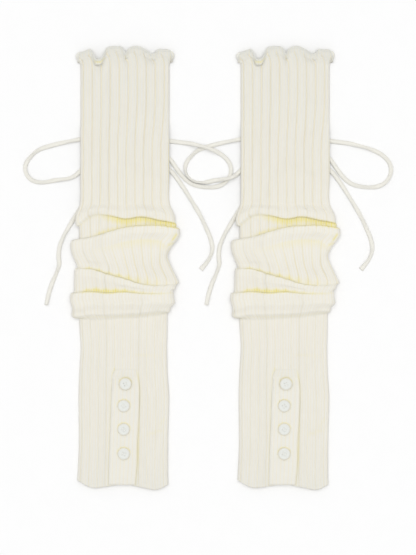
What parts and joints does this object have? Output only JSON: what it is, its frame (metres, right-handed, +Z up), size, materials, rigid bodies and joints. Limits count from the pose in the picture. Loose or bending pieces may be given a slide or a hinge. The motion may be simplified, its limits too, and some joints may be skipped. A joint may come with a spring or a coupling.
{
  "type": "pair of ruffle leg warmers",
  "caption": "Pair of cream wide-rib knit leg warmers laid flat, with fluted tops, slack pushed into folds, buttoned plackets and thin ties bowed behind.",
  "frame": {"origin": "middle of the pair on the surface they lie on, measured without the free ties", "axes": "+Y along the leg warmers from the plain hems to the fluted tops, +Z up from the surface, +X to the right seen from above with the tops away"},
  "size_m": [0.4422, 0.5328, 0.0155],
  "materials": {
    "rib_knit": "soft matte wide-rib knit in cream, warmer and yellower in its creases",
    "tie_tape": "flat tubular knit tape in cream",
    "pearl_button": "smooth pale pearl with a low gloss"
  },
  "bodies": {
    "root": {"left_tube": "rib_knit", "left_placket": "rib_knit", "left_button_1": "pearl_button", "left_button_2": "pearl_button", "left_button_3": "pearl_button", "left_button_4": "pearl_button", "left_bow_knot": "tie_tape", "left_tie_loop_left": "tie_tape", "left_tie_loop_right": "tie_tape", "left_tie_tail_left": "tie_tape", "left_tie_tail_right": "tie_tape", "right_tube": "rib_knit", "right_placket": "rib_knit", "right_button_1": "pearl_button", "right_button_2": "pearl_button", "right_button_3": "pearl_button", "right_button_4": "pearl_button", "right_bow_knot": "tie_tape", "right_tie_loop_left": "tie_tape", "right_tie_loop_right": "tie_tape", "right_tie_tail_left": "tie_tape", "right_tie_tail_right": "tie_tape"}
  },
  "joints": []
}
